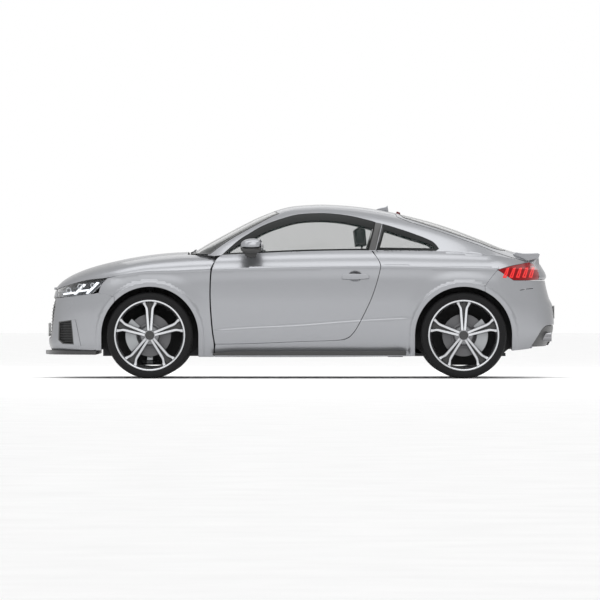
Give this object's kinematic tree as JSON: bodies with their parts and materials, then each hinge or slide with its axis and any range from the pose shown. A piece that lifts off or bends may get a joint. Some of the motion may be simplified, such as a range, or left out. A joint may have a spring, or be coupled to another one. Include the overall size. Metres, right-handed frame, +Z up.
{
  "type": "coupe car",
  "caption": "Low two-door fastback coupe with a silver body, black trim, large five-spoke wheels, a hollow cabin, opening doors, bonnet and tailgate, steered front wheels and rolling wheels",
  "frame": {"origin": "centre of the bounding box in plan, at the bottom of the tyres", "axes": "+X towards the rear of the car, -Y towards the car's left side, +Z up"},
  "size_m": [4.088, 1.931, 1.3885],
  "materials": {
    "paint": "metallic gloss",
    "black_trim": "satin",
    "structure": "satin",
    "engine": "cast",
    "glass": "polished",
    "headlamp": "clear",
    "taillamp": "clear",
    "exhaust": "polished",
    "plate": "plain",
    "seat": "grained",
    "cabin": "grained",
    "tyre": "matt",
    "rim": "machined",
    "disc": "ground"
  },
  "bodies": {
    "chassis": {"floor_pan": "structure", "firewall": "structure", "front_subframe": "structure", "engine": "engine", "rear_axle": "structure", "arch_liners": "black_trim", "roof_panel": "paint", "body_side_left": "paint", "body_side_right": "paint", "window_frame_left": "paint", "window_frame_right": "paint", "front_fenders": "paint", "front_bumper": "paint", "rear_bumper": "paint", "grilles": "black_trim", "front_splitter": "black_trim", "side_skirts": "black_trim", "rear_diffuser": "black_trim", "exhaust": "exhaust", "headlights": "headlamp", "taillights": "taillamp", "windscreen": "glass", "quarter_windows": "glass", "number_plates": "plate", "front_seats": "seat", "rear_seat": "seat", "dashboard": "cabin", "steering_wheel": "cabin"},
    "door_left_body": {"door_left": "paint", "door_window_left": "glass", "door_mirror_left": "paint", "door_handle_left": "paint"},
    "door_right_body": {"door_right": "paint", "door_window_right": "glass", "door_mirror_right": "paint", "door_handle_right": "paint"},
    "bonnet_body": {"bonnet": "paint"},
    "tailgate_body": {"tailgate": "paint", "rear_window": "glass", "spoiler": "paint"},
    "steer_left": {"front_knuckle_left": "structure"},
    "steer_right": {"front_knuckle_right": "structure"},
    "wheel_front_left": {"tyre_front_left": "tyre", "rim_front_left": "rim", "brake_disc_front_left": "disc"},
    "wheel_front_right": {"tyre_front_right": "tyre", "rim_front_right": "rim", "brake_disc_front_right": "disc"},
    "wheel_rear_left": {"tyre_rear_left": "tyre", "rim_rear_left": "rim", "brake_disc_rear_left": "disc"},
    "wheel_rear_right": {"tyre_rear_right": "tyre", "rim_rear_right": "rim", "brake_disc_rear_right": "disc"}
  },
  "joints": [
    {"name": "door_left_hinge", "type": "hinge", "parent": "chassis", "child": "door_left_body", "pos_m": [-0.694, -0.897, 0.56], "axis": [0, 0, -1], "range_deg": [0, 65]},
    {"name": "door_right_hinge", "type": "hinge", "parent": "chassis", "child": "door_right_body", "pos_m": [-0.694, 0.897, 0.56], "axis": [0, 0, 1], "range_deg": [0, 65]},
    {"name": "bonnet_hinge", "type": "hinge", "parent": "chassis", "child": "bonnet_body", "pos_m": [-0.64, 0, 1.006], "axis": [0, 1, 0], "range_deg": [0, 45]},
    {"name": "tailgate_hinge", "type": "hinge", "parent": "chassis", "child": "tailgate_body", "pos_m": [0.772, 0, 1.338], "axis": [0, -1, 0], "range_deg": [0, 70]},
    {"name": "steer_left_axis", "type": "hinge", "parent": "chassis", "child": "steer_left", "pos_m": [-1.19, -0.77, 0.343], "axis": [0, 0, 1], "range_deg": [-32, 32]},
    {"name": "steer_right_axis", "type": "hinge", "parent": "chassis", "child": "steer_right", "pos_m": [-1.19, 0.77, 0.343], "axis": [0, 0, 1], "range_deg": [-32, 32]},
    {"name": "wheel_front_left_roll", "type": "hinge", "parent": "steer_left", "child": "wheel_front_left", "pos_m": [-1.19, -0.784, 0.343], "axis": [0, 1, 0], "continuous": true},
    {"name": "wheel_rear_left_roll", "type": "hinge", "parent": "chassis", "child": "wheel_rear_left", "pos_m": [1.3, -0.784, 0.343], "axis": [0, 1, 0], "continuous": true},
    {"name": "wheel_front_right_roll", "type": "hinge", "parent": "steer_right", "child": "wheel_front_right", "pos_m": [-1.19, 0.784, 0.343], "axis": [0, 1, 0], "continuous": true},
    {"name": "wheel_rear_right_roll", "type": "hinge", "parent": "chassis", "child": "wheel_rear_right", "pos_m": [1.3, 0.784, 0.343], "axis": [0, 1, 0], "continuous": true}
  ],
  "couplings": [
    {"joint": "steer_right_axis", "follows": "steer_left_axis", "ratio": 1}
  ]
}
